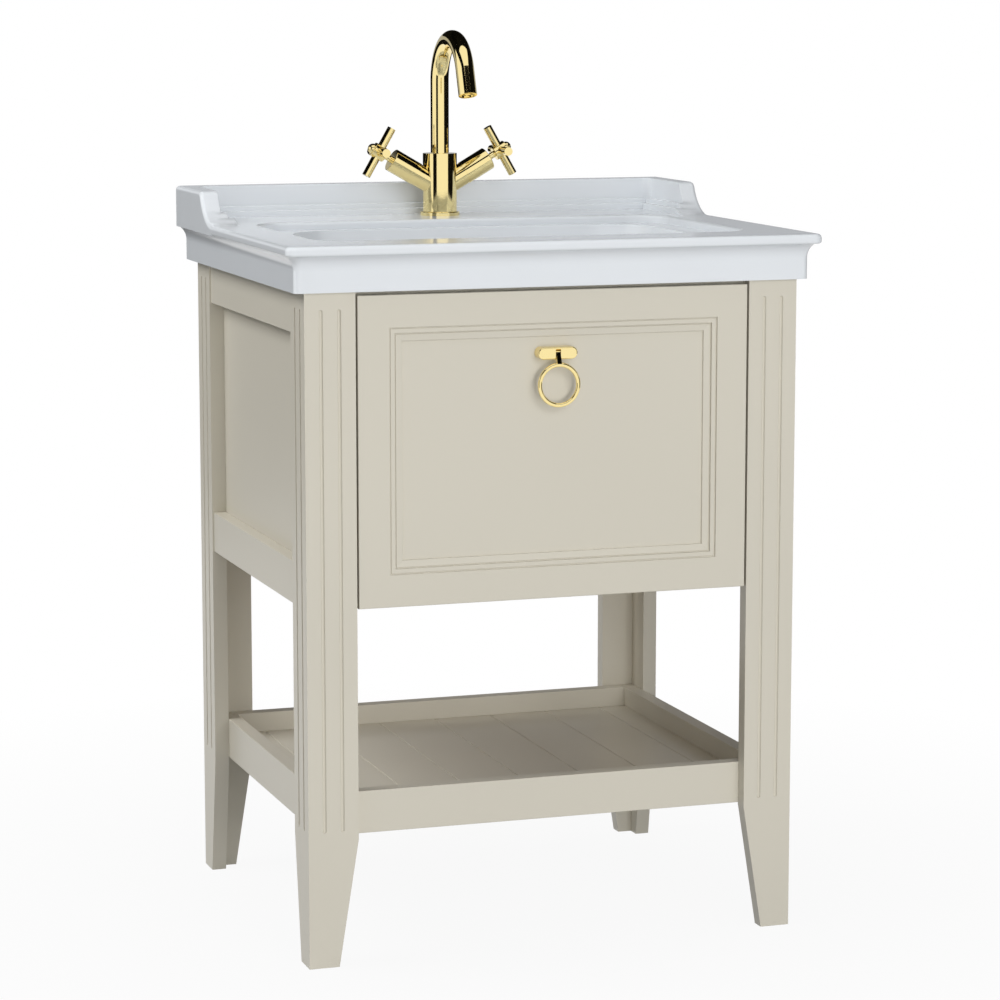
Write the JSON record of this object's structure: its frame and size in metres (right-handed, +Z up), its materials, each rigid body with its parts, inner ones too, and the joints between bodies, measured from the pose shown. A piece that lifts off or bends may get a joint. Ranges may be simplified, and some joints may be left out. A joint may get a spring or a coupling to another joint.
{
  "type": "vanity unit with basin",
  "caption": "Free-standing vanity unit: ceramic basin with a splash rail, swan-neck mixer with cross handles, panelled drawer with a ring pull, open boarded shelf and tapered legs.",
  "frame": {"origin": "on the floor, under the middle of the basin's plan", "axes": "+X to the right as seen from the front, +Y to the wall, +Z up"},
  "size_m": [0.65, 0.535, 1.0695],
  "materials": {
    "painted_wood": "satin ivory paint",
    "drawer_wood": "clear lacquer on birch",
    "glazed_ceramic": "gloss glaze",
    "polished_brass": "mirror polish",
    "plain_brass": "as machined",
    "zinc_steel": "bright zinc",
    "chromed_tube": "polished",
    "rubber": "matt"
  },
  "bodies": {
    "cabinet": {"basin": "glazed_ceramic", "corner_blocks": "drawer_wood", "front_rail_bottom": "painted_wood", "front_rail_top": "painted_wood", "leg_front_left": "painted_wood", "leg_front_right": "painted_wood", "leg_rear_left": "painted_wood", "leg_rear_right": "painted_wood", "rear_rail_bottom": "painted_wood", "rear_rail_top": "painted_wood", "runner_outer_left": "zinc_steel", "runner_outer_right": "zinc_steel", "runner_packer_left": "drawer_wood", "runner_packer_right": "drawer_wood", "shelf_cleats": "painted_wood", "shelf_panel": "painted_wood", "shelf_rail_front": "painted_wood", "shelf_rail_rear": "painted_wood", "shelf_rails_side": "painted_wood", "side_panel_left": "painted_wood", "side_panel_right": "painted_wood", "side_rails_bottom": "painted_wood", "side_rails_top": "painted_wood", "tap_body": "polished_brass", "tap_bonnet_left": "polished_brass", "tap_bonnet_right": "polished_brass", "tap_nut": "plain_brass", "tap_ring": "polished_brass", "tap_shank": "plain_brass", "tap_valve_left": "plain_brass", "tap_valve_right": "plain_brass", "tap_washer": "rubber", "waste_body": "polished_brass", "waste_nut": "plain_brass", "waste_tail": "chromed_tube", "waste_washer": "rubber"},
    "drawer": {"drawer_front": "painted_wood", "drawer_box_front": "drawer_wood", "drawer_side_left": "drawer_wood", "drawer_side_right": "drawer_wood", "drawer_back": "drawer_wood", "drawer_floor": "drawer_wood", "drawer_screws": "zinc_steel", "runner_inner_left": "zinc_steel", "runner_inner_right": "zinc_steel", "pull_bar": "polished_brass", "pull_pin": "polished_brass", "pull_screws": "zinc_steel"},
    "runner_middle_left": {"runner_middle_left": "zinc_steel"},
    "runner_middle_right": {"runner_middle_right": "zinc_steel"},
    "pull_ring": {"pull_ring": "polished_brass"},
    "tap_handle_left": {"tap_handle_left": "polished_brass", "tap_stem_left": "plain_brass"},
    "tap_handle_right": {"tap_handle_right": "polished_brass", "tap_stem_right": "plain_brass"},
    "spout": {"spout": "polished_brass", "aerator": "polished_brass"},
    "waste_plug": {"waste_plug": "polished_brass"}
  },
  "joints": [
    {"name": "drawer_slide", "type": "slide", "parent": "cabinet", "child": "drawer", "axis": [0, -1, 0], "range_m": [0, 0.4]},
    {"name": "runner_middle_left_slide", "type": "slide", "parent": "cabinet", "child": "runner_middle_left", "axis": [0, -1, 0], "range_m": [0, 0.2]},
    {"name": "runner_middle_right_slide", "type": "slide", "parent": "cabinet", "child": "runner_middle_right", "axis": [0, -1, 0], "range_m": [0, 0.2]},
    {"name": "ring_swing", "type": "hinge", "parent": "drawer", "child": "pull_ring", "pos_m": [0, -0.2501, 0.706], "axis": [-1, 0, 0], "range_deg": [0, 80]},
    {"name": "handle_left_turn", "type": "hinge", "parent": "cabinet", "child": "tap_handle_left", "pos_m": [0, 0.1955, 0.8705], "axis": [0.866, 0, -0.5], "range_deg": [0, 90]},
    {"name": "handle_right_turn", "type": "hinge", "parent": "cabinet", "child": "tap_handle_right", "pos_m": [0, 0.1955, 0.8705], "axis": [0.866, 0, 0.5], "range_deg": [0, 90]},
    {"name": "spout_swivel", "type": "hinge", "parent": "cabinet", "child": "spout", "pos_m": [0, 0.1955, 0.9], "axis": [0, 0, 1], "range_deg": [-60, 60]},
    {"name": "plug_lift", "type": "slide", "parent": "cabinet", "child": "waste_plug", "axis": [0, 0, 1], "range_m": [0, 0.008]}
  ],
  "couplings": [
    {"joint": "runner_middle_left_slide", "follows": "drawer_slide", "ratio": 0.5},
    {"joint": "runner_middle_right_slide", "follows": "drawer_slide", "ratio": 0.5}
  ]
}
